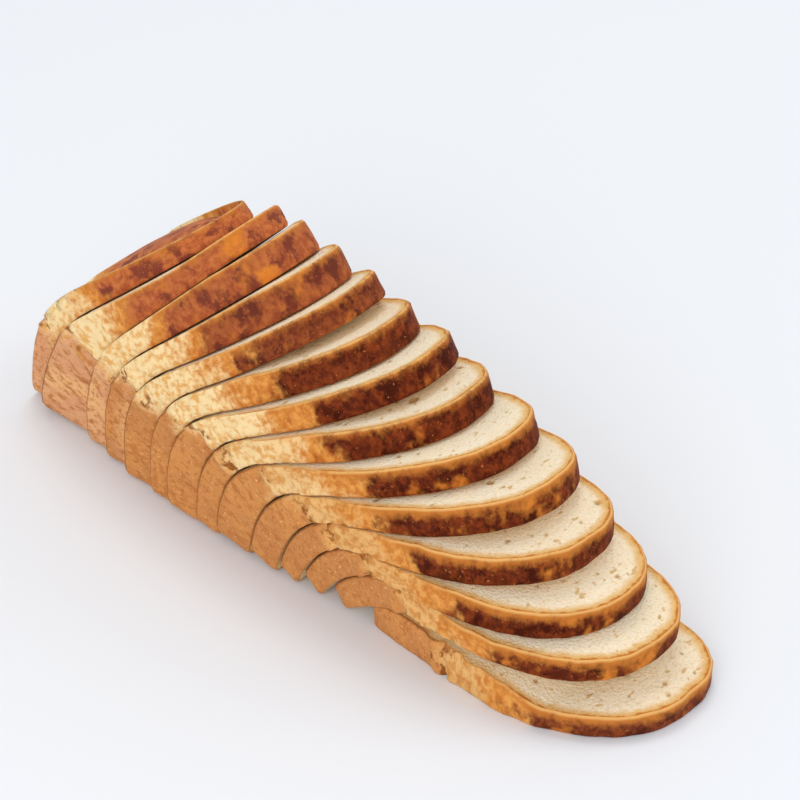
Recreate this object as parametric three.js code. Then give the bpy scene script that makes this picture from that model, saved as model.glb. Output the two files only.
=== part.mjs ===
// A sliced tin loaf, fanned out on its side. Millimetres, +Z up.
// The fan runs along X: the heel leans at the -X end and the end slice lies flat at the +X end.
import * as THREE from "three";

// how many slices, and how thick they were cut
const SLICE_COUNT = 14;
const SLICE_THICKNESS = 11.11;
const HEEL_THICKNESS = 13.3;
const SLICE_GAP = 0.5;
// the knife drifted, so most slices are thicker at the foot than at the crown
const FOOT_CLEARANCE = 1.2;
const THICKEST_FOOT = 32;
const TAPER_PART = 0.6;
// the soft crumb swells into the room left between two slices, most of all below the shoulder,
// and the first slices still stand so close that they swell up to the crown
const SWELL_GAP = 0.6;
const MOST_SWELL = 7;
const SWELL_UNTIL = 0.5;
const SWELL_FADE = 0.25;
const CROWN_SWELL = 2.5;
const CLOSED_SLICES = 5;
const CLOSED_SWELL = 12;

// half outlines of a full slice: foot, greatest width, shoulder height and roundness
const NEAR_SIDE = { foot: 51.3, rim: 54.3, shoulder: 72.2, power: 1.99 };
const FAR_SIDE = { foot: 36, rim: 39.2, shoulder: 82.7, power: 3.14 };
const CROWN_HEIGHT = 150;
const LOW_ROWS = 8;
const HIGH_ROWS = 12;
const LOW_PART = 0.54;
const LAST_PART = 0.993;

// slices are smaller near the heel and tallest in the middle of the loaf
const HEEL_WIDTH_SCALE = 0.84;
const END_WIDTH_SCALE = 0.983;
const MIDDLE_WIDTH_RISE = -0.004;
const HEEL_HEIGHT_SCALE = 0.998;
const END_HEIGHT_SCALE = 0.91;
const MIDDLE_HEIGHT_RISE = 0.1;

// distance from each foot to the next foot along the loaf
const FOOT_STEPS = [37, 17, 17, 20, 13, 20, 14, 22, 18, 13, 14, 14, 16];
// sideways place of the heel and the end slice, and how far the row bows between them
const HEEL_SIDE = 0.8;
const END_SIDE = 9.1;
const FOOT_BOW = 9.6;

// turn of each slice about the upright axis
const TURN_START = 7.7;
const TURN_SPREAD = -5.6;
const TURN_FROM = 5.2;
const END_TURN = 2;

// lean from upright: at the foot, and at the crown if nothing holds the slice up
const HEEL_FOOT_LEAN = 13.2;
const FOOT_LEAN_STEP = 2.62;
const FOOT_LEAN_DIP = -21;
const LEAST_FOOT_LEAN = 3;
const LAST_FOOT_LEAN = 53;
const FREE_CROWN_LEAN = 94;
const BEND_START = 0.023;
const BEND_SPAN = 0.581;
const FOOT_GIVE = 12;
const SAG_TRIES = 10;

const RAD = Math.PI / 180;

function smooth(value) {
  const s = Math.min(1, Math.max(0, value));
  return s * s * (3 - 2 * s);
}

// half of the slice's width at a height: straight sides below, a stretched arch above
function halfAt(side, height, heightScale) {
  const shoulder = side.shoulder * heightScale;
  if (height < shoulder) {
    return side.foot + ((side.rim - side.foot) * height) / shoulder;
  }
  const up = (height - shoulder) / (CROWN_HEIGHT * heightScale - shoulder);
  return side.rim * Math.max(0, 1 - up ** side.power) ** (1 / side.power);
}

// rows of the outline, closer together near the crown
function outlineRows(widthScale, heightScale) {
  const rows = [];
  for (let i = 0; i <= LOW_ROWS + HIGH_ROWS; i += 1) {
    const high = Math.sin((((i - LOW_ROWS) / HIGH_ROWS) * Math.PI) / 2);
    const part = i < LOW_ROWS ? (LOW_PART * i) / LOW_ROWS : LOW_PART + (1 - LOW_PART) * high;
    const height = CROWN_HEIGHT * heightScale * LAST_PART * part;
    const near = halfAt(NEAR_SIDE, height, heightScale) * widthScale;
    const far = halfAt(FAR_SIDE, height, heightScale) * widthScale;
    rows.push({ height, near, far });
  }
  return rows;
}

function wantedFootLean(index) {
  if (index === SLICE_COUNT - 1) {
    return 90;
  }
  if (index === SLICE_COUNT - 2) {
    return LAST_FOOT_LEAN;
  }
  const share = index / (SLICE_COUNT - 2);
  const dip = FOOT_LEAN_DIP * 4 * share * (1 - share);
  return Math.max(LEAST_FOOT_LEAN, HEEL_FOOT_LEAN + FOOT_LEAN_STEP * index + dip);
}

function turnOf(index) {
  if (index === SLICE_COUNT - 1) {
    return END_TURN * RAD;
  }
  const spread = smooth((index - TURN_FROM) / (SLICE_COUNT - 2 - TURN_FROM));
  return (TURN_START + TURN_SPREAD * spread) * RAD;
}

// a slice fills the room between its own foot and the foot behind it
function thicknessAt(index, part) {
  if (index === 0) {
    return HEEL_THICKNESS * (1 - 0.3 * part ** 3);
  }
  if (index === SLICE_COUNT - 1) {
    return SLICE_THICKNESS;
  }
  const room = (FOOT_STEPS[index - 1] - FOOT_CLEARANCE) * Math.cos(wantedFootLean(index) * RAD);
  const foot = Math.min(THICKEST_FOOT, Math.max(SLICE_THICKNESS, room));
  return SLICE_THICKNESS + (foot - SLICE_THICKNESS) * Math.max(0, 1 - part / TAPER_PART) ** 1.5;
}

// the front face, from its foot up, for a lean at the foot and a lean at the crown
function bend(slice, foot, crown) {
  const { rows } = slice;
  const total = rows[rows.length - 1].height;
  slice.front = [{ u: 0, z: 0 }];
  slice.leans = [];
  for (let j = 1; j < rows.length; j += 1) {
    const length = rows[j].height - rows[j - 1].height;
    const part = (rows[j].height + rows[j - 1].height) / 2 / total;
    const lean = (foot + (crown - foot) * smooth((part - BEND_START) / BEND_SPAN)) * RAD;
    const { u, z } = slice.front[j - 1];
    slice.front.push({ u: u + Math.sin(lean) * length, z: z + Math.cos(lean) * length });
    slice.leans.push(lean);
  }
}

// distance from a point to a closed outline, negative inside it
function signedDistance(x, y, outline) {
  let inside = false;
  let best = Infinity;
  for (let i = 0; i < outline.length; i += 1) {
    const [x0, y0] = outline[i];
    const [x1, y1] = outline[(i + 1) % outline.length];
    const dx = x1 - x0;
    const dy = y1 - y0;
    const along = ((x - x0) * dx + (y - y0) * dy) / (dx * dx + dy * dy);
    const t = Math.max(0, Math.min(1, along));
    best = Math.min(best, Math.hypot(x - x0 - t * dx, y - y0 - t * dy));
    if ((y0 > y) !== (y1 > y) && x < ((x1 - x0) * (y - y0)) / (y1 - y0) + x0) {
      inside = !inside;
    }
  }
  return inside ? -best : best;
}

// true while the front face stays off the slice it would rest on
function clears(slice, under) {
  if (!under) {
    return true;
  }
  for (let j = 1; j < slice.front.length; j += 1) {
    const from = slice.front[j - 1];
    const to = slice.front[j];
    for (let i = 1; i <= 6; i += 1) {
      const u = from.u + ((to.u - from.u) * i) / 6;
      const z = from.z + ((to.z - from.z) * i) / 6;
      for (const across of [-slice.nearReach, 0, slice.farReach]) {
        const x = slice.x + u * slice.cos - across * slice.sin;
        const y = slice.y + u * slice.sin + across * slice.cos;
        const along = (x - under.x) * under.cos + (y - under.y) * under.sin;
        if (signedDistance(along, z, under.outline) < SLICE_GAP) {
          return false;
        }
      }
    }
  }
  return true;
}

// a slice sags forward until it meets the slice under it
function settle(index, x, y, under) {
  const share = index / (SLICE_COUNT - 1);
  const hump = 4 * share * (1 - share);
  const wider = (END_WIDTH_SCALE - HEEL_WIDTH_SCALE) * share + MIDDLE_WIDTH_RISE * hump;
  const taller = (END_HEIGHT_SCALE - HEEL_HEIGHT_SCALE) * share + MIDDLE_HEIGHT_RISE * hump;
  const rows = outlineRows(HEEL_WIDTH_SCALE + wider, HEEL_HEIGHT_SCALE + taller);
  const turn = turnOf(index);
  const slice = { x, y, rows, cos: Math.cos(turn), sin: Math.sin(turn) };
  slice.nearReach = NEAR_SIDE.rim * (HEEL_WIDTH_SCALE + wider);
  slice.farReach = FAR_SIDE.rim * (HEEL_WIDTH_SCALE + wider);
  const foot = wantedFootLean(index);
  const crown = index === SLICE_COUNT - 1 ? 90 : FREE_CROWN_LEAN;
  bend(slice, foot, crown);
  if (!clears(slice, under)) {
    const least = foot - FOOT_GIVE;
    let low = 0;
    let high = 1;
    for (let tries = 0; tries < SAG_TRIES; tries += 1) {
      const sag = (low + high) / 2;
      bend(slice, least + FOOT_GIVE * sag, least + (crown - least) * sag);
      if (clears(slice, under)) {
        low = sag;
      } else {
        high = sag;
      }
    }
    bend(slice, least + FOOT_GIVE * low, least + (crown - least) * low);
  }
  const total = rows[rows.length - 1].height;
  slice.parts = rows.map((row) => row.height / total);
  slice.normals = slice.front.map((_, j) => {
    const before = slice.leans[Math.max(0, j - 1)];
    const after = slice.leans[Math.min(slice.leans.length - 1, j)];
    return (before + after) / 2;
  });
  slice.back = slice.front.map((p, j) => {
    const t = thicknessAt(index, slice.parts[j]);
    const lean = slice.normals[j];
    return { u: p.u - Math.cos(lean) * t, z: p.z + Math.sin(lean) * t };
  });
  slice.outline = [...slice.front, ...slice.back.toReversed()].map((p) => [p.u, p.z]);
  return slice;
}

// room from a point on the back face to the front face of the slice behind
function roomBehind(slice, behind, row, across) {
  const { u, z } = slice.back[row];
  const x = slice.x + u * slice.cos - across * slice.sin;
  const y = slice.y + u * slice.sin + across * slice.cos;
  const along = (x - behind.x) * behind.cos + (y - behind.y) * behind.sin;
  const du = -Math.cos(slice.normals[row]);
  const dz = Math.sin(slice.normals[row]);
  let room = Infinity;
  for (let i = 1; i < behind.front.length; i += 1) {
    const from = behind.front[i - 1];
    const eu = behind.front[i].u - from.u;
    const ez = behind.front[i].z - from.z;
    const cross = du * ez - dz * eu;
    const far = ((from.u - along) * ez - (from.z - z) * eu) / cross;
    const share = ((from.u - along) * dz - (from.z - z) * du) / cross;
    if (share >= 0 && share <= 1 && far > 0) {
      room = Math.min(room, far);
    }
  }
  return room;
}

function crownSwell(index) {
  if (index < CLOSED_SLICES) {
    return CLOSED_SWELL;
  }
  return index === SLICE_COUNT - 1 ? 0 : CROWN_SWELL;
}

// thicken a slice until it nearly meets the slice behind
function swell(index, slice, behind) {
  let room = MOST_SWELL + SWELL_GAP;
  slice.back = slice.back.map((p, j) => {
    const found = [-slice.nearReach, 0, slice.farReach].map((across) => {
      return roomBehind(slice, behind, j, across);
    });
    if (Math.min(...found) < Infinity) {
      room = Math.min(...found);
    }
    const fade = 1 - smooth((slice.parts[j] - SWELL_UNTIL) / SWELL_FADE);
    const limit = MOST_SWELL * fade + crownSwell(index) * (1 - fade);
    const more = Math.min(limit, Math.max(0, room - SWELL_GAP));
    const lean = slice.normals[j];
    return { u: p.u - Math.cos(lean) * more, z: p.z + Math.sin(lean) * more };
  });
}

// bend a plain box into the settled slice
function sliceMesh(slice, name, color) {
  const rowCount = slice.rows.length - 1;
  const geometry = new THREE.BoxGeometry(1, 1, 1, 2, rowCount, 1);
  const position = geometry.attributes.position;
  for (let i = 0; i < position.count; i += 1) {
    const row = Math.round((position.getY(i) + 0.5) * rowCount);
    const side = position.getX(i) * 2;
    const across = side * (side < 0 ? slice.rows[row].near : slice.rows[row].far);
    const { u, z } = position.getZ(i) < 0 ? slice.back[row] : slice.front[row];
    const x = slice.x + u * slice.cos - across * slice.sin;
    const y = slice.y + u * slice.sin + across * slice.cos;
    position.setXYZ(i, x, y, Math.max(0, z));
  }
  geometry.computeVertexNormals();
  const mesh = new THREE.Mesh(geometry, new THREE.MeshStandardMaterial({ color, roughness: 0.8 }));
  mesh.name = name;
  return mesh;
}

function sliceName(index) {
  if (index === 0) {
    return "heel_slice";
  }
  if (index === SLICE_COUNT - 1) {
    return "end_slice";
  }
  return `slice_${String(index + 1).padStart(2, "0")}`;
}

const loaf = new THREE.Group();
loaf.name = "tin_loaf";

// feet first, then settle from the flat end slice back to the heel
const feet = [];
let along = 0;
for (let index = 0; index < SLICE_COUNT; index += 1) {
  const share = index / (SLICE_COUNT - 1);
  const side = HEEL_SIDE + (END_SIDE - HEEL_SIDE) * share - FOOT_BOW * Math.sin(Math.PI * share);
  feet.push([along, side]);
  along += FOOT_STEPS[index] ?? 0;
}
const slices = [];
for (let index = SLICE_COUNT - 1; index >= 0; index -= 1) {
  slices[index] = settle(index, feet[index][0], feet[index][1], slices[index + 1] ?? null);
}
for (let index = 0; index < SLICE_COUNT; index += 1) {
  if (index > 0) {
    swell(index, slices[index], slices[index - 1]);
  }
  const color = index % 2 === 0 ? 0xc98a4b : 0xd8a468;
  loaf.add(sliceMesh(slices[index], sliceName(index), color));
}

// put the middle of the fan over the origin, resting on z = 0
const bounds = new THREE.Box3().setFromObject(loaf);
const middle = bounds.getCenter(new THREE.Vector3());
for (const mesh of loaf.children) {
  mesh.geometry.translate(-middle.x, -middle.y, 0);
}

export default loaf;
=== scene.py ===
# %% [markdown]
# # A sliced tin loaf
# A tin loaf is one baked thing: tan flat sides where the dough touched the tin, a pale torn
# band called the shred just above the rim, and a dark domed top. This one is cut into slices
# that have toppled forward like dominoes. The solid model comes first, because every slice
# made here has to lie exactly where its solid twin lies.

# %% Load the solid loaf
import math

import bpy
import numpy as np
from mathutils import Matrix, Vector


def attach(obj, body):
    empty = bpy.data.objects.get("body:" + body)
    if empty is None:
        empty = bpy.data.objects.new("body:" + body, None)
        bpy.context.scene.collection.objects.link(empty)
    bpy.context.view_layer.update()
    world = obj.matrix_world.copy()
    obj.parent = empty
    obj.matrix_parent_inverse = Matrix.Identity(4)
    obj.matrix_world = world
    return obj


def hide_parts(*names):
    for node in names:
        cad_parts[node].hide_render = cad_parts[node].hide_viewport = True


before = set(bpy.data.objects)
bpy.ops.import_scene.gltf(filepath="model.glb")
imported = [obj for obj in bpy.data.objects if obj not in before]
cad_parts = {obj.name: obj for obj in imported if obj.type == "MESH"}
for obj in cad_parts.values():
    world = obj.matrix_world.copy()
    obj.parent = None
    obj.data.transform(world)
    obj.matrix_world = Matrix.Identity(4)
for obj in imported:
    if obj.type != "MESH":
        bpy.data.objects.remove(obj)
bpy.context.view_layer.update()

# %% [markdown]
# ## Cutting the loaf
# A baker gives a number of slices and a thickness, and the first slice, the heel, is cut a
# little thicker. The list says how far apart the feet of the slices stand along the row.
# These are the sizes that the solid loaf was made from, so both come out in the same place.

# %% Slices and feet, in millimetres
SLICES = 14
SLICE_THICKNESS = 11.11
HEEL_THICKNESS = 13.3
FOOT_STEPS = [37, 17, 17, 20, 13, 20, 14, 22, 18, 13, 14, 14, 16]
print("slices:", SLICES, "row of feet, mm:", sum(FOOT_STEPS))

# %% [markdown]
# ## The outline of a slice
# The outline runs up the tin side and over the crown. The crown is a stretched arch: with a
# power of 2 it is an ellipse, and a little more makes a fuller shoulder. The two sides have
# outlines of their own, because a loaf seldom rises evenly.

# %% Outline rows
NEAR_SIDE = {"foot": 51.3, "rim": 54.3, "shoulder": 72.2, "power": 1.99}
FAR_SIDE = {"foot": 36, "rim": 39.2, "shoulder": 82.7, "power": 3.14}
CROWN_HEIGHT = 150
HEEL_WIDTH, END_WIDTH, MIDDLE_WIDTH = 0.84, 0.983, -0.004
HEEL_HEIGHT, END_HEIGHT, MIDDLE_HEIGHT = 0.998, 0.91, 0.1
LOW_ROWS, HIGH_ROWS = 8, 12
LOW_PART, LAST_PART = 0.54, 0.993


def slice_scales(index):
    share = index / (SLICES - 1)
    hump = 4 * share * (1 - share)
    wide = HEEL_WIDTH + (END_WIDTH - HEEL_WIDTH) * share + MIDDLE_WIDTH * hump
    tall = HEEL_HEIGHT + (END_HEIGHT - HEEL_HEIGHT) * share + MIDDLE_HEIGHT * hump
    return wide, tall


def half_at(side, height, tall):
    shoulder = side["shoulder"] * tall
    low = side["foot"] + (side["rim"] - side["foot"]) * height / shoulder
    up = np.clip((height - shoulder) / (CROWN_HEIGHT * tall - shoulder), 0, 1)
    arch = side["rim"] * (1 - up ** side["power"]) ** (1 / side["power"])
    return np.where(height < shoulder, low, arch)


def outline_rows(wide, tall):
    i = np.arange(LOW_ROWS + HIGH_ROWS + 1)
    high = LOW_PART + (1 - LOW_PART) * np.sin((i - LOW_ROWS) / HIGH_ROWS * np.pi / 2)
    part = np.where(i < LOW_ROWS, LOW_PART * i / LOW_ROWS, high)
    height = CROWN_HEIGHT * tall * LAST_PART * part
    near, far = half_at(NEAR_SIDE, height, tall), half_at(FAR_SIDE, height, tall)
    return np.stack([height, near * wide, far * wide], 1)


for label, index in (("heel", 0), ("middle", SLICES // 2), ("end", SLICES - 1)):
    tops = outline_rows(*slice_scales(index)).max(0)
    print(label, "slice, mm wide and tall:", round(tops[1] + tops[2]), round(tops[0]))

# %% [markdown]
# ## How far each slice leans
# The first slices stand nearly upright on their feet and only their crowns fall forward. The
# later ones lean more and more, until the last one lies flat. The row was pushed over in a
# gentle curve, so each slice also turns about the upright axis. A crown that nothing holds
# up hangs slightly below level.

# %% Wanted leans and turns, in degrees
TURN_START, TURN_SPREAD, TURN_FROM, END_TURN = 7.7, -5.6, 5.2, 2
HEEL_FOOT_LEAN, FOOT_LEAN_STEP, FOOT_LEAN_DIP = 13.2, 2.62, -21
LEAST_FOOT_LEAN, LAST_FOOT_LEAN = 3, 53
FREE_CROWN_LEAN = 94
FLAT = 90


def smooth(value):
    s = np.clip(value, 0.0, 1.0)
    return s * s * (3 - 2 * s)


def turn_of(index):
    if index == SLICES - 1:
        return math.radians(END_TURN)
    spread = smooth((index - TURN_FROM) / (SLICES - 2 - TURN_FROM))
    return math.radians(TURN_START + TURN_SPREAD * spread)


def wanted_leans(index):
    if index == SLICES - 1:
        return FLAT, FLAT
    if index == SLICES - 2:
        return LAST_FOOT_LEAN, FREE_CROWN_LEAN
    share = index / (SLICES - 2)
    foot = HEEL_FOOT_LEAN + FOOT_LEAN_STEP * index + FOOT_LEAN_DIP * 4 * share * (1 - share)
    return max(LEAST_FOOT_LEAN, foot), FREE_CROWN_LEAN


print("wanted foot leans:", [round(wanted_leans(index)[0]) for index in range(SLICES)])

# %% [markdown]
# ## A wedge at the foot
# Where the feet stand apart, soft slices are packed down and spread, so a slice is thicker at
# its foot than at its crown. The extra thickness tapers away a little above the middle. The
# heel has no slice behind it to fill up to. It only thins gently towards the crown, like the
# rounded end of a loaf.

# %% Thickness from foot to crown
FOOT_CLEARANCE = 1.2
THICKEST_FOOT = 32
TAPER_PART, TAPER_POWER = 0.6, 1.5
HEEL_THINNING = 0.3


def thickness_at(index, part):
    part = np.asarray(part, dtype=float)
    if index == 0:
        return HEEL_THICKNESS * (1 - HEEL_THINNING * part**3)
    if index == SLICES - 1:
        return np.full_like(part, SLICE_THICKNESS)
    lean = math.radians(wanted_leans(index)[0])
    room = (FOOT_STEPS[index - 1] - FOOT_CLEARANCE) * math.cos(lean)
    foot = min(THICKEST_FOOT, max(SLICE_THICKNESS, room))
    taper = np.maximum(0, 1 - part / TAPER_PART) ** TAPER_POWER
    return SLICE_THICKNESS + (foot - SLICE_THICKNESS) * taper


print("foot thickness, mm:", [round(float(thickness_at(index, 0)), 1) for index in range(SLICES)])

# %% [markdown]
# ## Bending a slice
# A slice sags as a sheet does: stiff at the foot, then curving over. We give it one lean at
# the foot and one at the crown, blend between them with height, and add up short steps to
# get the front face. The back face lies the thickness away, square to the front.

# %% Front and back faces of a bent slice
BEND_START, BEND_SPAN = 0.023, 0.581


def lean_at(foot, crown, part):
    return np.radians(foot + (crown - foot) * smooth((part - BEND_START) / BEND_SPAN))


def bend(slice_, foot, crown):
    heights = slice_["rows"][:, 0]
    steps = np.diff(heights)
    lean = lean_at(foot, crown, (heights[1:] + heights[:-1]) / 2 / heights[-1])
    slice_["lean"] = lean
    slice_["u"] = np.concatenate([[0], np.cumsum(np.sin(lean) * steps)])
    slice_["z"] = np.concatenate([[0], np.cumsum(np.cos(lean) * steps)])
    slice_["foot_crown"] = (foot, crown)


def add_back_face(slice_):
    lean = slice_["lean"]
    normal = np.concatenate([[lean[0]], (lean[1:] + lean[:-1]) / 2, [lean[-1]]])
    back_u = slice_["u"] - np.cos(normal) * slice_["thick"]
    back_z = slice_["z"] + np.sin(normal) * slice_["thick"]
    front = np.stack([slice_["u"], slice_["z"]], 1)
    slice_["normal"], slice_["back"] = normal, np.stack([back_u, back_z], 1)
    slice_["ring"] = np.vstack([front, slice_["back"][::-1]])


def on_table(slice_, u, across):
    x = slice_["x"] + u * slice_["cos"] - across * slice_["sin"]
    y = slice_["y"] + u * slice_["sin"] + across * slice_["cos"]
    return x, y


def along_slice(slice_, x, y):
    return (x - slice_["x"]) * slice_["cos"] + (y - slice_["y"]) * slice_["sin"]


print("lean halfway up, if it sags from 10 to 90:", round(math.degrees(lean_at(10, 90, 0.5))))

# %% [markdown]
# ## Does it touch the slice in front?
# To let a slice sag until it rests on the next one, we need to know when they touch. Points
# along the front face are measured against the outline of the slice in front, at the near
# edge, the middle and the far edge. Inside the outline the distance counts as negative.

# %% Test for contact
SLICE_GAP = 0.5
TESTS_PER_ROW = 6


def inside_distance(px, py, ring):
    a, b = ring, np.roll(ring, -1, axis=0)
    dx, dy = (b - a).T
    t = ((px[:, None] - a[:, 0]) * dx + (py[:, None] - a[:, 1]) * dy) / (dx * dx + dy * dy)
    t = np.clip(t, 0, 1)
    far = np.hypot(px[:, None] - a[:, 0] - t * dx, py[:, None] - a[:, 1] - t * dy).min(1)
    straddle = (b[:, 1] > py[:, None]) != (a[:, 1] > py[:, None])
    cross = (b[:, 0] - a[:, 0]) * (py[:, None] - a[:, 1]) / np.where(dy == 0, 1, dy) + a[:, 0]
    odd = (straddle & (px[:, None] < cross)).sum(1) % 2 == 1
    return np.where(odd, -far, far)


def clears(slice_, under):
    if under is None:
        return True
    f = np.arange(1, TESTS_PER_ROW + 1) / TESTS_PER_ROW
    u = (slice_["u"][:-1, None] + np.diff(slice_["u"])[:, None] * f).ravel()
    z = (slice_["z"][:-1, None] + np.diff(slice_["z"])[:, None] * f).ravel()
    for across in slice_["stations"]:
        along = along_slice(under, *on_table(slice_, u, across))
        if inside_distance(along, z, under["ring"]).min() < SLICE_GAP:
            return False
    return True


square = np.array([[0.0, 0.0], [4.0, 0.0], [4.0, 4.0], [0.0, 4.0]])
probes = inside_distance(np.array([1.0, 6.0]), np.array([2.0, 2.0]), square)
print("1 mm inside and 2 mm outside a square:", probes.tolist())

# %% [markdown]
# ## Toppling the slices
# Each slice stands on its foot edge and sags forward until it meets the slice in front of
# it. The strongest sag that still leaves a hair of air is found by halving the range again
# and again, which needs no formula for a bent slice resting on another.

# %% Settle one slice
FOOT_GIVE = 12
SAG_TRIES = 10


def sag_until_it_rests(slice_, under):
    foot, crown = wanted_leans(slice_["index"])
    bend(slice_, foot, crown)
    if clears(slice_, under):
        return
    least, low, high = foot - FOOT_GIVE, 0.0, 1.0
    for _ in range(SAG_TRIES):
        sag = (low + high) / 2
        bend(slice_, least + FOOT_GIVE * sag, least + (crown - least) * sag)
        if clears(slice_, under):
            low = sag
        else:
            high = sag
    bend(slice_, least + FOOT_GIVE * low, least + (crown - least) * low)


def settle(index, x, y, under):
    wide, tall = slice_scales(index)
    turn = turn_of(index)
    slice_ = {"index": index, "x": x, "y": y, "wide": wide, "tall": tall}
    slice_["cos"], slice_["sin"] = math.cos(turn), math.sin(turn)
    slice_["rows"] = outline_rows(wide, tall)
    slice_["stations"] = (-NEAR_SIDE["rim"] * wide, 0, FAR_SIDE["rim"] * wide)
    sag_until_it_rests(slice_, under)
    slice_["parts"] = slice_["rows"][:, 0] / slice_["rows"][-1, 0]
    slice_["thick"] = thickness_at(index, slice_["parts"])
    add_back_face(slice_)
    return slice_


print("the end slice leans:", settle(SLICES - 1, 0, 0, None)["foot_crown"])

# %% [markdown]
# ## Closing the gaps
# Fresh crumb is soft, so each slice spreads until it nearly meets the slice behind. From
# every row on the back face we look along the surface direction for the front face behind,
# and thicken the slice by the room that is found there. Near the crown only a little room
# is filled, except in the first slices, which still stand close together.

# %% Swell a slice
SWELL_GAP = 0.6
MOST_SWELL, CROWN_SWELL, CLOSED_SWELL = 7, 2.5, 12
SWELL_UNTIL, SWELL_FADE = 0.5, 0.25
CLOSED_SLICES = 5


def room_behind(slice_, behind, across):
    u, z = slice_["back"].T
    along = along_slice(behind, *on_table(slice_, u, across))[:, None]
    du, dz = -np.cos(slice_["normal"])[:, None], np.sin(slice_["normal"])[:, None]
    eu, ez = np.diff(behind["u"]), np.diff(behind["z"])
    au, az = behind["u"][:-1] - along, behind["z"][:-1] - z[:, None]
    cross = du * ez - dz * eu
    far, share = (au * ez - az * eu) / cross, (au * dz - az * du) / cross
    hit = (share >= 0) & (share <= 1) & (far > 0)
    return np.where(hit, far, np.inf).min(1)


def crown_swell(index):
    if index < CLOSED_SLICES:
        return CLOSED_SWELL
    return 0 if index == SLICES - 1 else CROWN_SWELL


def swell(slice_, behind):
    room = np.min([room_behind(slice_, behind, across) for across in slice_["stations"]], axis=0)
    last = MOST_SWELL + SWELL_GAP
    for j, found in enumerate(room):
        last = room[j] = last if np.isinf(found) else found
    fade = 1 - smooth((slice_["parts"] - SWELL_UNTIL) / SWELL_FADE)
    limit = MOST_SWELL * fade + crown_swell(slice_["index"]) * (1 - fade)
    slice_["thick"] = slice_["thick"] + np.clip(room - SWELL_GAP, 0, limit)
    add_back_face(slice_)


print("most room filled at the crown, mm:", [crown_swell(index) for index in range(SLICES)])

# %% [markdown]
# ## Laying out the row
# The end slice lies flat whatever the others do, so we start there and work back to the
# heel, each slice resting on the one just settled. The feet stand along a shallow bow. Then
# the whole row is moved so that its middle lies over the origin, as in the solid loaf.

# %% Lay out the whole row
HEEL_SIDE, END_SIDE, FOOT_BOW = 0.8, 9.1, 9.6


def lay_out():
    feet = np.concatenate([[0], np.cumsum(FOOT_STEPS)])
    row, under = [None] * SLICES, None
    for index in range(SLICES - 1, -1, -1):
        share = index / (SLICES - 1)
        side = HEEL_SIDE + (END_SIDE - HEEL_SIDE) * share - FOOT_BOW * math.sin(math.pi * share)
        row[index] = under = settle(index, feet[index], side, under)
    for behind, slice_ in zip(row, row[1:]):
        swell(slice_, behind)
    return row


def corners_of(slice_):
    _, near, far = np.vstack([slice_["rows"], slice_["rows"][::-1]]).T
    u = slice_["ring"][:, 0]
    return np.hstack([on_table(slice_, u, -near), on_table(slice_, u, far)]).T


row = lay_out()
corners = np.vstack([corners_of(slice_) for slice_ in row])
shift = -(corners.min(0) + corners.max(0)) / 2
for slice_ in row:
    slice_["x"] += shift[0]
    slice_["y"] += shift[1]
print("leans, degrees:", [tuple(round(v) for v in s["foot_crown"]) for s in row])

# %% [markdown]
# ## Uneven surfaces
# Nothing baked is smooth, so we need a noise that can be asked for at any place in the loaf.
# A lattice of random slopes, blended smoothly, does it, and it gives the same bumps every
# time because its random numbers start from a fixed seed.

# %% A repeatable noise
LATTICE = 32
NOISE_GAIN = 1.6
lattice = np.random.default_rng(14).normal(size=(LATTICE, LATTICE, LATTICE, 3))
lattice /= np.linalg.norm(lattice, axis=-1, keepdims=True)


def lumps(points, size):
    p = np.asarray(points) / size
    cell = np.floor(p).astype(int)
    local = p - cell
    fade = local**3 * (local * (local * 6 - 15) + 10)
    total = np.zeros(len(p))
    for corner in range(8):
        step = np.array([corner & 1, corner >> 1 & 1, corner >> 2 & 1])
        slope = lattice[tuple(((cell + step) % LATTICE).T)]
        weight = np.where(step, fade, 1 - fade).prod(1)
        total += weight * (slope * (local - step)).sum(1)
    return total * NOISE_GAIN


sample = np.random.default_rng(1).random((4000, 3)) * 90
print("noise spread:", round(float(lumps(sample, 7).std()), 3))

# %% [markdown]
# ## The fine outline
# The solid slice has a coarse outline. For the looks we walk round the same shape in small,
# even steps, with round bottom corners, and note how far each step is above the rim. That
# distance decides whether the crust there is tin side, shred or dark crown.

# %% Walk round the outline
AROUND = 320
CORNER = 5.0
CORNER_POINTS, SIDE_POINTS = 9, 400
TIN_RIM = 48


def half_outline(side, wide, tall):
    foot = side["foot"] * wide
    turn = np.radians(np.linspace(-90, 0, CORNER_POINTS))
    arc = np.stack([foot - CORNER + CORNER * np.cos(turn), CORNER + CORNER * np.sin(turn)], 1)
    top = CROWN_HEIGHT * tall
    height = CORNER + (top - CORNER) * np.sin(np.linspace(0, np.pi / 2, SIDE_POINTS))[1:]
    sides = np.stack([half_at(side, height, tall) * wide, height], 1)
    return np.vstack([[[0, 0]], arc, sides])


def fine_outline(wide, tall):
    far, near = half_outline(FAR_SIDE, wide, tall), half_outline(NEAR_SIDE, wide, tall)
    loop = np.vstack([far, (near * [-1, 1])[::-1][1:]])
    run = np.concatenate([[0], np.cumsum(np.hypot(*np.diff(loop, axis=0).T))])
    want = np.linspace(0, run[-1], AROUND, endpoint=False)
    across, height = np.interp(want, run, loop[:, 0]), np.interp(want, run, loop[:, 1])
    top = len(far) - 1
    far_rim = np.interp(TIN_RIM * tall, far[:, 1], run[: top + 1])
    near_rim = np.interp(TIN_RIM * tall, near[:, 1], (run[-1] - run[top:])[::-1])
    above = np.where(want < run[top], want - far_rim, run[-1] - want - near_rim)
    return across, height, above


print("outline length, mm:", round(float(np.ptp(fine_outline(1, 1)[2])) * 2))

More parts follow.
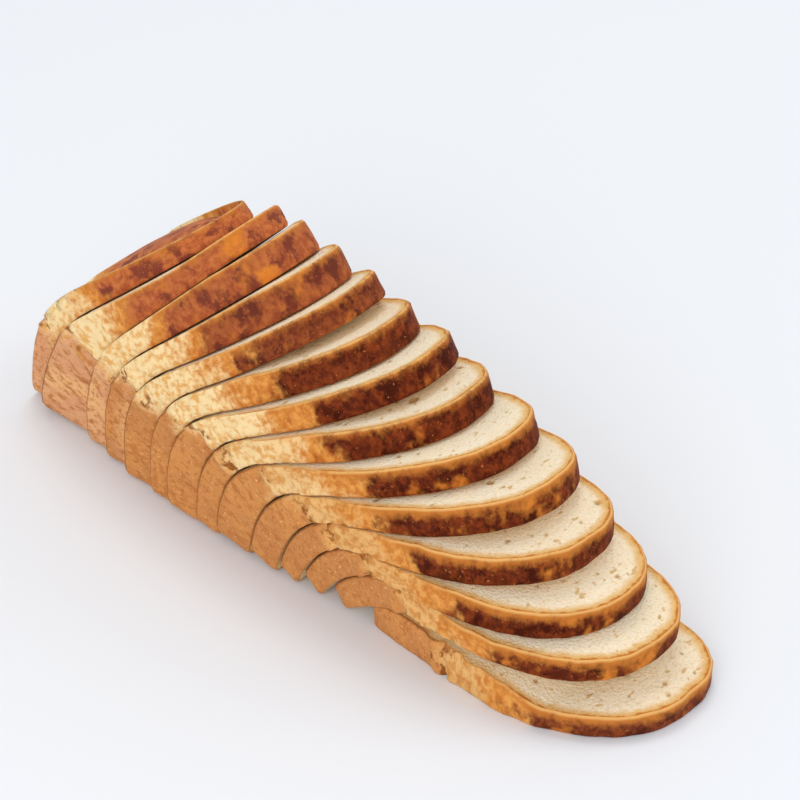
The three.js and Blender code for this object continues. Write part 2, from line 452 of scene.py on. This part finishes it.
# %% [markdown]
# ## Bending the fine slice
# A slice is a thick sheet of crumb. Any place in it can be given as across, height and depth
# through the thickness. This helper turns those three into a place on the table, following
# the same bend that the solid slice took.

# %% Place points of a slice
BEND_POINTS = 240


def place(slice_, across, height, depth):
    total = slice_["rows"][-1, 0]
    h = np.linspace(0, total, BEND_POINTS)
    lean = lean_at(*slice_["foot_crown"], h / total)
    middle = (lean[1:] + lean[:-1]) / 2
    run = np.concatenate([[0], np.cumsum(np.sin(middle) * h[1])])
    rise = np.concatenate([[0], np.cumsum(np.cos(middle) * h[1])])
    here = np.interp(height, h, lean)
    over = np.maximum(height - total, 0) + np.minimum(height, 0)
    thick = np.interp(height, slice_["rows"][:, 0], slice_["thick"]) * depth
    u = np.interp(height, h, run) + over * np.sin(here) - np.cos(here) * thick
    z = np.interp(height, h, rise) + over * np.cos(here) + np.sin(here) * thick
    x, y = on_table(slice_, u, across)
    return np.stack([x, y, np.maximum(z, 0)], 1)


heel_top = place(row[0], np.zeros(1), row[0]["rows"][-1:, 0], np.zeros(1))[0]
print("top of the heel slice, mm:", [round(float(v)) for v in heel_top])

# %% [markdown]
# ## The tin side and its rim
# Dough that baked against the tin is nearly flat, with fine wrinkles and small pinholes. It
# ends in a thin lip, where it met the rim of the tin, and just above the lip the rising
# dough tore away. All of it is worked out from the place in the whole loaf, so it runs on
# from slice to slice.

# %% Relief at and below the rim
LIP_HEIGHT, LIP_PLACE, LIP_WIDTH = 1.4, -3, 2.6
TEAR_DEPTH, TEAR_PLACE, TEAR_WIDTH = 2.6, 1.5, 2.2


def hump(value, middle, width):
    return np.exp(-(((value - middle) / width) ** 2))


def rim_relief(spot, wander):
    lip = LIP_HEIGHT * hump(wander, LIP_PLACE, LIP_WIDTH)
    patchy = 0.55 + 0.9 * lumps(spot, 7)
    tear = TEAR_DEPTH * hump(wander, TEAR_PLACE, TEAR_WIDTH) * patchy
    return lip - np.maximum(tear, 0)


def tin_relief(spot, wander):
    tin = 1 - smooth((wander + 2) / 4)
    wrinkle = lumps(spot * [0.35, 1, 1.3], 2.6)
    pinholes = smooth((0.35 * wrinkle + lumps(spot, 2.1) - 0.75) * 3)
    return tin * (0.2 * lumps(spot, 5) + 0.2 * wrinkle - 0.5 * pinholes)


probe = np.array([[20.0, 50.0, 40.0]])
print("lip stands out, mm:", round(float(rim_relief(probe, np.array([LIP_PLACE]))[0]), 2))

# %% [markdown]
# ## The shred and the crown
# Above the rim the dough swelled freely. The shred bulges and carries stretched strands and
# cracks, with deeper notches on the far side, which tore more. The crown is only blistered,
# because its crust set early. Stretching the noise across one axis turns lumps into strands.

# %% Relief above the rim
SHRED_WIDTH = 36
CRACK_WIDTH, CRACK_DEPTH = 0.32, 1.3
NOTCH_DEPTH = 3.2


def shred_relief(spot, wander):
    shred = smooth((wander + 1) / 4) * smooth((SHRED_WIDTH + 6 - wander) / 14)
    strands = lumps(spot * [1, 0.35, 0.35], 3.2)
    cracks = np.maximum(0, CRACK_WIDTH - np.abs(lumps(spot * [1, 0.5, 0.6], 8))) / CRACK_WIDTH
    bulge = 0.7 + 0.8 * strands + 0.9 * lumps(spot, 7) - CRACK_DEPTH * cracks**2
    notch = smooth(spot[:, 1] / 20) * np.maximum(0, lumps(spot * [0.7, 1, 1], 9) - 0.1)
    return shred * (bulge - NOTCH_DEPTH * notch)


def crown_relief(spot, above):
    crown = smooth((above - SHRED_WIDTH + 6) / 12)
    return crown * (0.6 * lumps(spot, 10) + 0.24 * lumps(spot, 3.4))


def crust_relief(along, across, height, above):
    spot = np.stack([along, across, height], 1)
    wander = above + 3.0 * lumps(spot, 13) + 1.2 * lumps(spot, 4)
    relief = 0.5 * lumps(spot, 26) + rim_relief(spot, wander) + tin_relief(spot, wander)
    return relief + shred_relief(spot, wander) + crown_relief(spot, above)


relief = crust_relief(np.full(AROUND, 30.0), *fine_outline(1, 1))
print("crust relief, mm:", round(float(relief.min()), 1), "to", round(float(relief.max()), 1))

# %% [markdown]
# ## Rings of skin
# The mesh of a slice is one closed skin: rings grow from the middle of the front cut face
# out to the knife edge, cross the crust, and shrink again to the middle of the back cut
# face. The back face gets more rings, because it is the one that shows its pores. The knife
# leaves the edge slightly rounded, and the sole stays flat where it stood in the tin.

# %% Rings of one slice
FRONT_RINGS = 22
BACK_RINGS = 46
EDGE_RING = 0.993
CRUST_ROWS = [0.0, 0.04, 0.13, 0.26, 0.4, 0.54, 0.68, 0.81, 0.91, 0.97, 1.0]
KNIFE_ROUND = 0.8
SOLE_HEIGHT = 1.5


def skin_rings():
    front = [(f, 0.0) for f in np.linspace(0, 1, FRONT_RINGS + 1)[1:-1]] + [(EDGE_RING, 0.0)]
    side = [(1.0, d) for d in CRUST_ROWS]
    back = [(EDGE_RING, 1.0)] + [(f, 1.0) for f in np.linspace(1, 0, BACK_RINGS + 1)[1:-1]]
    return np.array(front + side + back)


def outward_of(edge):
    tangent = np.roll(edge, -1, axis=0) - np.roll(edge, 1, axis=0)
    outward = np.stack([tangent[:, 1], -tangent[:, 0]], 1)
    return outward / np.linalg.norm(outward, axis=1, keepdims=True)


def crust_edge(edge, outward, above, along, depth):
    relief = crust_relief(np.full(AROUND, along), *edge.T, above)
    relief -= KNIFE_ROUND * (smooth(1 - depth * 10) + smooth(1 - (1 - depth) * 10))
    standing = np.where(edge[:, 1] < SOLE_HEIGHT, np.minimum(relief, 0), relief)
    return edge + outward * standing[:, None]


rings = skin_rings()
print("rings:", len(rings), "points in a slice:", len(rings) * AROUND + 2)

# %% [markdown]
# ## Knowing the way in from the crust
# The material has to know how far each point lies in from the crust, so that it can turn
# from brown through golden to cream. On a cut face the inset is positive. On the crust it is
# negative and tells how far the point is from the back knife edge.

# %% The skin of one slice
MIDDLE_INSET, MIDDLE_ABOVE = 40, 20


def slice_skin(slice_, start, thick):
    across, height, above = fine_outline(slice_["wide"], slice_["tall"])
    edge = np.stack([across, height], 1)
    outward = outward_of(edge)
    centre = np.array([0, slice_["rows"][-1, 0] * 0.5])
    grown = []
    for share, depth in rings:
        outer = crust_edge(edge, outward, above, start + depth * thick, depth)
        grown.append(centre + (outer - centre) * share)
    share, depth = np.repeat(rings, AROUND, axis=0).T
    reach = np.abs(((edge - centre) * outward).sum(1))
    local = np.interp(height, slice_["rows"][:, 0], slice_["thick"])
    inset = np.tile(reach, len(rings)) * (1 - share)
    inset -= (share == 1) * (1 - depth) * np.tile(local, len(rings))
    flat = np.vstack(grown + [centre, centre])
    depth = np.concatenate([depth, [0, 1]])
    inset = np.concatenate([inset, [MIDDLE_INSET, MIDDLE_INSET]])
    above = np.concatenate([np.tile(above, len(rings)), [MIDDLE_ABOVE, MIDDLE_ABOVE]])
    skin = {"across": flat[:, 0], "height": flat[:, 1], "depth": depth}
    return {**skin, "inset": inset, "above": above}


insets = slice_skin(row[5], 60.0, SLICE_THICKNESS)["inset"]
print("inset, mm:", round(float(insets.min())), "to", round(float(insets.max())))

# %% [markdown]
# ## Pores and dried crumb
# A cut face is a section through a foam. Larger bubbles leave shallow pits, and the crumb
# dries and sinks a little behind the firm crust. Only the back faces show in the row, so
# only they are shaped. The heel has no cut there: its back is the rounded end of the loaf,
# with crust all over, so its inset is set well below zero.

# %% Shape the back face
PORES = 150
PORE_DEPTH, DRY_SINK, FACE_WAVE = 0.75, 0.35, 0.25
HEEL_ROUND, HEEL_ROUND_WIDTH, HEEL_INSET = 5.5, 26, -8


def pore_pits(index, across, height):
    rng = np.random.default_rng(500 + index)
    centre = np.stack([rng.uniform(-56, 56, PORES), rng.uniform(4, 146, PORES)], 1)
    radius = np.minimum(0.5 * np.exp(rng.normal(0.35, 0.45, PORES)), 2.4)
    stretch = rng.uniform(0.55, 1.0, PORES)
    pit = np.zeros(len(across))
    for (cx, cy), r, s in zip(centre, radius, stretch):
        near = np.abs(across - cx) + np.abs(height - cy) < 4 * r
        far = np.hypot((across[near] - cx) * s, height[near] - cy) / r
        pit[near] = np.maximum(pit[near], smooth(1.25 - far) * r)
    return pit


def shape_back_face(index, skin):
    across, height, inset = skin["across"], skin["height"], skin["inset"]
    back = skin["depth"] >= 1
    face = back & (inset > 0)
    pits = np.zeros(len(across))
    pits[face] = pore_pits(index, across[face], height[face]) * smooth((inset[face] - 1.5) / 2)
    wave = lumps(np.stack([across, height, np.full(len(across), index * 37.0)], 1), 24)
    sunk = DRY_SINK * smooth((inset - 0.6) / 2.4) + PORE_DEPTH * pits - FACE_WAVE * wave
    skin["pore"], skin["sunk"] = pits, np.where(face, sunk, 0)
    if index == 0:
        rounding = HEEL_ROUND * smooth(1 - inset / HEEL_ROUND_WIDTH)
        skin["sunk"] = np.where(back, rounding, 0)
        skin["inset"] = np.where(back, HEEL_INSET, inset)


print("pores in a cut face:", PORES)

# %% [markdown]
# ## Building a slice
# Now the skin becomes a mesh. Neighbouring rings are joined by four-sided faces and the two
# middles are closed with fans. Four values are stored on the mesh for the material: the
# place in the loaf, the inset, the distance above the rim, and the pores.

# %% Make one slice
def skin_faces(ring_count):
    ids = np.arange(ring_count * AROUND).reshape(ring_count, AROUND)
    a, b = ids[:-1], ids[1:]
    quads = np.stack([b, np.roll(b, -1, 1), np.roll(a, -1, 1), a], -1).reshape(-1, 4)
    first, last = ids.size, ids.size + 1
    fans = [[first, int(p), int(q)] for p, q in zip(ids[0], np.roll(ids[0], -1))]
    fans += [[last, int(q), int(p)] for p, q in zip(ids[-1], np.roll(ids[-1], -1))]
    return quads.tolist() + fans


def store(mesh, name, kind, values):
    layer = mesh.attributes.new(name, kind, "POINT")
    key = "vector" if kind == "FLOAT_VECTOR" else "value"
    layer.data.foreach_set(key, np.asarray(values, dtype=np.float32).ravel())


def build_slice(slice_, name, start, thick):
    skin = slice_skin(slice_, start, thick)
    shape_back_face(slice_["index"], skin)
    across, height, depth = skin["across"], skin["height"], skin["depth"]
    local = np.interp(height, slice_["rows"][:, 0], slice_["thick"])
    points = place(slice_, across, height, np.where(depth >= 1, 1 - skin["sunk"] / local, depth))
    mesh = bpy.data.meshes.new(name + "_bread")
    mesh.from_pydata((points / 1000).tolist(), [], skin_faces(len(rings)))
    mesh.update()
    mesh.shade_smooth()
    loaf_place = np.stack([start + depth * thick, across, height], 1)
    store(mesh, "loaf_place", "FLOAT_VECTOR", loaf_place)
    store(mesh, "inset", "FLOAT", skin["inset"])
    store(mesh, "above_rim", "FLOAT", skin["above"])
    store(mesh, "pore", "FLOAT", skin["pore"])
    piece = bpy.data.objects.new(name + "_bread", mesh)
    bpy.context.scene.collection.objects.link(piece)
    return piece


print("faces in a slice:", len(skin_faces(len(rings))))

# %% [markdown]
# ## Building the whole loaf
# Each fine slice stands in for one solid slice. The running thickness is handed from slice
# to slice, so the crust pattern carries on as it did before the loaf was cut.

# %% Build all the slices
def slice_name(index):
    if index == 0:
        return "heel_slice"
    return "end_slice" if index == SLICES - 1 else f"slice_{index + 1:02d}"


pieces, start = [], 0.0
for slice_ in row:
    node = slice_name(slice_["index"])
    thick = float(thickness_at(slice_["index"], 0.5))
    piece = build_slice(slice_, node, start, thick)
    start += thick
    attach(piece, "root")
    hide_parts(node)
    pieces.append(piece)
print("slices:", len(pieces), "points each:", len(pieces[5].data.vertices))

# %% [markdown]
# ## Mixing the bread material
# One material covers crust and crumb, because on real bread they are one substance baked to
# a different depth. The mesh carries the place in the loaf, the distance in from the crust
# and the distance above the rim, and the material reads its colour from those. The helpers
# below keep each step of the mixture to a line.

# %% Small helpers for shader nodes
def srgb(red, green, blue):
    level = np.array([red, green, blue]) / 255
    linear = np.where(level < 0.04045, level / 12.92, ((level + 0.055) / 1.055) ** 2.4)
    return (*[float(v) for v in linear], 1.0)


def put(tree, kind, inputs=None, **settings):
    node = tree.nodes.new("ShaderNode" + kind)
    for key, value in settings.items():
        setattr(node, key, value)
    for key, value in (inputs or {}).items():
        socket = node.inputs[key]
        if isinstance(value, bpy.types.NodeSocket):
            tree.links.new(value, socket)
        else:
            socket.default_value = value
    return node


def read(tree, name):
    node = put(tree, "Attribute", attribute_name=name)
    return node.outputs["Vector"] if name == "loaf_place" else node.outputs["Fac"]


def split(tree, place):
    return put(tree, "SeparateXYZ", {"Vector": place}).outputs


print("bread golden in linear light:", [round(v, 2) for v in srgb(226, 158, 78)[:3]])

# %% [markdown]
# ## Noise, sums and steps
# A few helpers do all the mixing: a noise of a given grain in millimetres, simple sums, a
# soft step from nought to one, and a blend of two colours by such a step.

# %% Helpers for patterns and colours
def noise(tree, vector, size, detail=3.0, rough=0.55):
    values = {"Vector": vector, "Scale": 1 / size, "Detail": detail, "Roughness": rough}
    return put(tree, "TexNoise", values, noise_dimensions="3D").outputs["Fac"]


def calc(tree, operation, a, b=0.0, c=0.0, clamp=False):
    return put(tree, "Math", {0: a, 1: b, 2: c}, operation=operation, use_clamp=clamp).outputs[0]


def times(tree, a, b):
    return calc(tree, "MULTIPLY", a, b)


def add_times(tree, value, factor, base):
    return calc(tree, "MULTIPLY_ADD", value, factor, base)


def centred(tree, value):
    return calc(tree, "SUBTRACT", value, 0.5)


def step(tree, value, low, high):
    values = {"Value": value, "From Min": low, "From Max": high}
    return put(tree, "MapRange", values, interpolation_type="SMOOTHSTEP").outputs["Result"]


def blend(tree, share, a, b):
    node = put(tree, "Mix", {0: share, 6: a, 7: b}, data_type="RGBA", clamp_factor=True)
    return node.outputs[2]


def tone(tree, value, low, high, a, b):
    return blend(tree, step(tree, value, low, high), a, b)


print("mid grey in linear light:", round(srgb(128, 128, 128)[0], 3))

# %% [markdown]
# ## Colour of the tin side
# The sides that touched the tin are an even tan with paler and browner patches, and finely
# speckled where small bubbles met the metal. The heel end is paler than the rest.

# %% The tin side
def tin_side_colour(tree, place, mottle, fleck):
    patch = step(tree, noise(tree, place, 19, 3, 0.6), 0.42, 0.6)
    tin = blend(tree, patch, srgb(210, 143, 80), srgb(199, 133, 78))
    heel = blend(tree, patch, srgb(230, 175, 121), srgb(216, 156, 114))
    colour = tone(tree, split(tree, place)["X"], 34, 48, heel, tin)
    colour = tone(tree, mottle, 0.48, 0.68, colour, srgb(190, 120, 64))
    colour = tone(tree, noise(tree, place, 7, 4, 0.65), 0.6, 0.7, colour, srgb(178, 112, 62))
    speck = step(tree, noise(tree, place, 2.0, 3, 0.6), 0.53, 0.66)
    colour = blend(tree, times(tree, speck, 0.7), colour, srgb(176, 108, 58))
    return tone(tree, fleck, 0.6, 0.76, colour, srgb(228, 178, 116))


print("tin side tan:", [round(v, 2) for v in srgb(210, 143, 80)[:3]])

# %% [markdown]
# ## Colour of the crown
# The crown bakes hardest. In the middle of the loaf it is almost burnt, and towards both
# ends it is a lighter chestnut. Dark blotches and a few golden windows break it up.

# %% The crown
BURN_IN, BURN_OUT = (18, 72), (142, 196)


def crown_colour(tree, place, mottle, fleck):
    along = split(tree, place)["X"]
    faded = calc(tree, "SUBTRACT", 1.0, step(tree, along, *BURN_OUT))
    burn = times(tree, step(tree, along, *BURN_IN), faded)
    light = tone(tree, mottle, 0.35, 0.66, srgb(170, 86, 50), srgb(200, 118, 66))
    dark = tone(tree, mottle, 0.35, 0.68, srgb(84, 28, 8), srgb(132, 56, 20))
    colour = blend(tree, burn, light, dark)
    blotch = blend(tree, burn, srgb(132, 64, 46), srgb(68, 17, 1))
    colour = tone(tree, noise(tree, place, 9, 4, 0.65), 0.5, 0.62, colour, blotch)
    window = blend(tree, mottle, srgb(232, 150, 60), srgb(196, 106, 34))
    colour = tone(tree, noise(tree, place, 26, 4, 0.65), 0.56, 0.7, colour, window)
    return tone(tree, fleck, 0.66, 0.8, colour, srgb(206, 132, 74))


print("burnt from", BURN_IN[1], "to", BURN_OUT[0], "mm along the loaf")

# %% [markdown]
# ## Wandering borders
# From the table up come tan tin side, pale shred, golden shoulder and dark crown. One loaf
# never bakes evenly, so noise is added to the distance above the rim before it picks a
# colour. The dark starts higher in the middle slices and along the far side.

# %% Where the colours change
BAKE_SWAY, BAKE_MOTTLE = 60.0, 12.0
RIM_SWAY, RIM_MOTTLE = 24.0, 14.0
LATE_BAKE, FAR_SIDE_BAKE = -17.0, -15.0


def bake_level(tree, place, above, mottle, sway):
    along, across, _ = split(tree, place)
    level = add_times(tree, sway, BAKE_SWAY, above)
    level = add_times(tree, centred(tree, mottle), BAKE_MOTTLE, level)
    late = times(tree, step(tree, along, 18, 36), step(tree, along, 115, 88))
    level = add_times(tree, late, LATE_BAKE, level)
    return add_times(tree, step(tree, across, 14, 32), FAR_SIDE_BAKE, level)


def rim_level(tree, above, mottle, sway):
    level = add_times(tree, centred(tree, mottle), RIM_MOTTLE, above)
    return add_times(tree, sway, RIM_SWAY, level)


print("borders wander by up to about, mm:", BAKE_SWAY / 2)

# %% [markdown]
# ## Colour of the shred and the knife edge
# The shred is pale, and tanner towards the end slice. A thin brown line marks the tear at
# the rim. Where the knife broke through the crust the back edge is frayed and lighter, while
# the front edge keeps the dark crown colour as painted shade from the next slice. Low on the
# side a dark line of painted shade marks the crease between two slices that touch.

# %% The whole crust
ARRIS_WANDER, LATE_ARRIS = 11.0, -1.9


def shred_colour(tree, place, mottle):
    pale = tone(tree, mottle, 0.42, 0.66, srgb(246, 218, 164), srgb(228, 170, 96))
    tan = tone(tree, mottle, 0.4, 0.64, srgb(230, 178, 112), srgb(204, 138, 70))
    return tone(tree, split(tree, place)["X"], 72, 120, pale, tan)


def fray_edge_and_paint_shade(tree, place, edge, level, tinge, colour):
    # Painted shade: a dark brown line low on the tin side along the back knife edge, standing for
    # the shade where one slice meets the next.
    painted_crease_shade = times(tree, step(tree, edge, -1.3, -0.1), step(tree, tinge, 2, -4))
    colour = blend(tree, times(tree, painted_crease_shade, 0.75), colour, srgb(126, 72, 34))
    ragged = centred(tree, noise(tree, place, 5, 4, 0.7))
    worn = add_times(tree, ragged, ARRIS_WANDER, edge)
    worn = add_times(tree, step(tree, split(tree, place)["X"], 112, 88), LATE_ARRIS, worn)
    arris = tone(tree, edge, -1.2, -0.2, srgb(196, 120, 48), srgb(228, 174, 104))
    # The lighter fray is laid along the back knife edge only; the front edge keeps the dark crown
    # colour as painted shade where it meets the next slice.
    share = times(tree, step(tree, worn, -6.2, -0.4), step(tree, level, 28, 46))
    return blend(tree, share, colour, arris)


def crust_colour(tree, place, above, edge):
    mottle, fleck = noise(tree, place, 3.4, 4, 0.6), noise(tree, place, 1.1, 2, 0.5)
    sway = centred(tree, noise(tree, place, 16, 4, 0.6))
    level = bake_level(tree, place, above, mottle, sway)
    tinge = rim_level(tree, above, mottle, sway)
    tin, shred = tin_side_colour(tree, place, mottle, fleck), shred_colour(tree, place, mottle)
    colour = tone(tree, tinge, -3, 3, tin, shred)
    torn = times(tree, step(tree, tinge, -2, 1), step(tree, tinge, 7, 3))
    torn = times(tree, torn, step(tree, noise(tree, place, 6, 3, 0.6), 0.5, 0.6))
    colour = blend(tree, torn, colour, srgb(150, 88, 38))
    gold = tone(tree, mottle, 0.35, 0.65, srgb(226, 158, 78), srgb(200, 120, 50))
    colour = tone(tree, level, 22, 38, colour, gold)
    colour = tone(tree, level, 42, 54, colour, crown_colour(tree, place, mottle, fleck))
    return fray_edge_and_paint_shade(tree, place, edge, level, tinge, colour)


print("shred pale:", [round(v, 2) for v in srgb(246, 218, 164)[:3]])

# %% [markdown]
# ## Colours of the crumb
# Straight in from the crust the cut face is brown, then golden, then cream within a few
# millimetres. The crumb itself is a foam: fine pale cells, with a few larger holes whose
# floors look duller because little light reaches them.

# %% The crumb colours
def crumb_colour(tree, place, inset, above, pore):
    crumb = blend(tree, noise(tree, place, 22, 2, 0.5), srgb(252, 237, 210), srgb(246, 226, 190))
    crumb = tone(tree, noise(tree, place, 1.5, 4, 0.65), 0.5, 0.72, crumb, srgb(234, 206, 162))
    longer = {0: place, 1: (1.0, 0.6, 1.0)}
    stretched = put(tree, "VectorMath", longer, operation="MULTIPLY").outputs[0]
    crumb = tone(tree, noise(tree, stretched, 3.0, 2, 0.4), 0.64, 0.72, crumb, srgb(218, 184, 132))
    crumb = tone(tree, pore, 0.1, 0.9, crumb, srgb(202, 164, 108))

    depth = add_times(tree, centred(tree, noise(tree, place, 4, 3, 0.6)), 4.0, inset)
    baked = step(tree, above, 24, 42)
    edge = blend(tree, baked, srgb(226, 174, 104), srgb(196, 118, 46))
    warm = blend(tree, baked, srgb(240, 208, 152), srgb(232, 186, 116))
    colour = tone(tree, depth, 0.5, 2.0, edge, warm)
    return tone(tree, depth, 1.8, 6.0, colour, crumb)


print("crumb cream:", [round(v, 2) for v in srgb(252, 237, 210)[:3]])

# %% [markdown]
# ## Putting the material together
# The crown is a little shiny, since its starch has caramelised, and the crumb is quite
# matt. Light also sinks into crumb and comes out near by, which is what makes bread look
# soft, so the shader gets some subsurface scattering.

# %% The bread material
CELL_SIZE = 1.4
BUMP_STRENGTH, BUMP_HEIGHT = 0.75, 0.0006
SOFTNESS, SOFT_REACH = 0.18, 0.004


def bread_roughness(tree, place, above, cut):
    shine = add_times(tree, step(tree, above, 30, 42), -0.22, 0.78)
    shine = add_times(tree, noise(tree, place, 2.6, 3, 0.5), 0.18, shine)
    return calc(tree, "MAXIMUM", shine, times(tree, cut, 0.95), clamp=True)


def bread_normal(tree, place, cut):
    fine, coarse = noise(tree, place, 0.9, 3, 0.6), noise(tree, place, 3.2, 3, 0.6)
    skin = add_times(tree, fine, 0.5, coarse)
    cell_inputs = {"Vector": place, "Scale": 1 / CELL_SIZE, "Randomness": 1.0}
    cells = put(tree, "TexVoronoi", cell_inputs).outputs["Distance"]
    foam = add_times(tree, noise(tree, place, 0.8, 3, 0.7), 0.9, cells)
    relief = put(tree, "Mix", {0: cut, 2: skin, 3: foam}, data_type="FLOAT").outputs[0]
    bump_inputs = {"Strength": BUMP_STRENGTH, "Distance": BUMP_HEIGHT, "Height": relief}
    return put(tree, "Bump", bump_inputs).outputs["Normal"]


def make_bread():
    material = bpy.data.materials.new("baked_bread")
    material.use_nodes = True
    tree = material.node_tree
    shader = tree.nodes["Principled BSDF"]
    place, inset = read(tree, "loaf_place"), read(tree, "inset")
    above, pore = read(tree, "above_rim"), read(tree, "pore")
    cut = step(tree, inset, 0.15, 0.75)
    crust = crust_colour(tree, place, above, inset)
    crumb = crumb_colour(tree, place, inset, above, pore)
    tree.links.new(blend(tree, cut, crust, crumb), shader.inputs["Base Color"])
    tree.links.new(bread_roughness(tree, place, above, cut), shader.inputs["Roughness"])
    tree.links.new(bread_normal(tree, place, cut), shader.inputs["Normal"])
    shader.inputs["Subsurface Weight"].default_value = SOFTNESS
    shader.inputs["Subsurface Radius"].default_value = (1.0, 0.62, 0.35)
    shader.inputs["Subsurface Scale"].default_value = SOFT_REACH
    shader.inputs["Specular IOR Level"].default_value = 0.1
    return material


bread = make_bread()
for piece in pieces:
    piece.data.materials.append(bread)
print("bread material nodes:", len(bread.node_tree.nodes))

# %% [markdown]
# ## The table
# A pale seamless table shows the shadows of the slices and says where they stand. It is far
# larger than the loaf, so that its edge is never seen.

# %% Table
TABLE_REACH = 3.0


def make_table():
    mesh = bpy.data.meshes.new("pale_table")
    turns = ((-1, -1), (1, -1), (1, 1), (-1, 1))
    mesh.from_pydata([(x * TABLE_REACH, y * TABLE_REACH, 0) for x, y in turns], [], [(0, 1, 2, 3)])
    table = bpy.data.objects.new("pale_table", mesh)
    bpy.context.scene.collection.objects.link(table)
    material = bpy.data.materials.new("pale_board")
    material.use_nodes = True
    shader = material.node_tree.nodes["Principled BSDF"]
    shader.inputs["Base Color"].default_value = (0.80, 0.82, 0.85, 1)
    shader.inputs["Roughness"].default_value = 0.6
    shader.inputs["Specular IOR Level"].default_value = 0.2
    mesh.materials.append(material)
    return table


table = make_table()
print("table, m:", [round(v, 1) for v in table.dimensions])

# %% [markdown]
# ## The light
# A pale sky and three broad soft lamps give the gentle shadows of a bright kitchen. The lamp
# above lights the cut faces, the one in front lights the tin sides and crowns, and a weak one
# beyond the loaf keeps the far shoulders from going dull. Colours are shown as they are
# mixed, with no film look laid over them, so that the crumb stays as pale as bread.

# %% Lights
SKY_STRENGTH = 0.75


def area_light(name, turn, height, distance, size, power, colour):
    light = bpy.data.lights.new(name, "AREA")
    light.shape = "DISK"
    light.size = size
    light.energy = power
    light.color = colour
    lamp = bpy.data.objects.new(name, light)
    angle = math.radians(turn)
    lamp.location = (distance * math.cos(angle), distance * math.sin(angle), height)
    lamp.rotation_euler = (-lamp.location).to_track_quat("-Z", "Y").to_euler()
    bpy.context.scene.collection.objects.link(lamp)


world = bpy.data.worlds.new("studio")
world.use_nodes = True
world.node_tree.nodes["Background"].inputs["Color"].default_value = (0.95, 0.97, 1.0, 1)
world.node_tree.nodes["Background"].inputs["Strength"].default_value = SKY_STRENGTH
bpy.context.scene.world = world
area_light("high_softbox", 130, 2.6, 0.9, 1.3, 16, (1.0, 0.98, 0.95))
area_light("far_softbox", 60, 1.6, 2.2, 1.2, 8, (1.0, 0.99, 0.97))
area_light("front_softbox", -60, 1.2, 2.0, 1.6, 19, (1.0, 0.98, 0.97))

# %% [markdown]
# ## The camera
# The camera looks down on the fan from beside the fallen end. Its long lens keeps near and
# far slices nearly the same size, which suits a long row of equal things. The lens follows
# from how wide a view is wanted at the loaf, in millimetres.

# %% Camera
VIEW_TURN = 46
VIEW_RISE = 35.8
VIEW_DISTANCE = 1163
VIEW_WIDTH = 400
SENSOR_WIDTH = 36
AIM_ALONG, AIM_ACROSS = 124.3, 86.1


def make_camera():
    data = bpy.data.cameras.new("camera")
    data.lens = VIEW_DISTANCE / VIEW_WIDTH * SENSOR_WIDTH
    camera = bpy.data.objects.new("camera", data)
    turn, rise = math.radians(VIEW_TURN), math.radians(VIEW_RISE)
    level = math.cos(rise)
    back = np.array([math.sin(turn) * level, -math.cos(turn) * level, math.sin(rise)])
    aim = np.array([AIM_ALONG + shift[0], AIM_ACROSS + shift[1], 0.0])
    camera.location = (aim + back * VIEW_DISTANCE) / 1000
    camera.rotation_mode = "QUATERNION"
    camera.rotation_quaternion = Vector(-back).to_track_quat("-Z", "Y")
    bpy.context.scene.collection.objects.link(camera)
    bpy.context.scene.camera = camera
    return camera


camera = make_camera()
bpy.context.scene.view_settings.view_transform = "Standard"
print("lens, mm:", round(camera.data.lens))
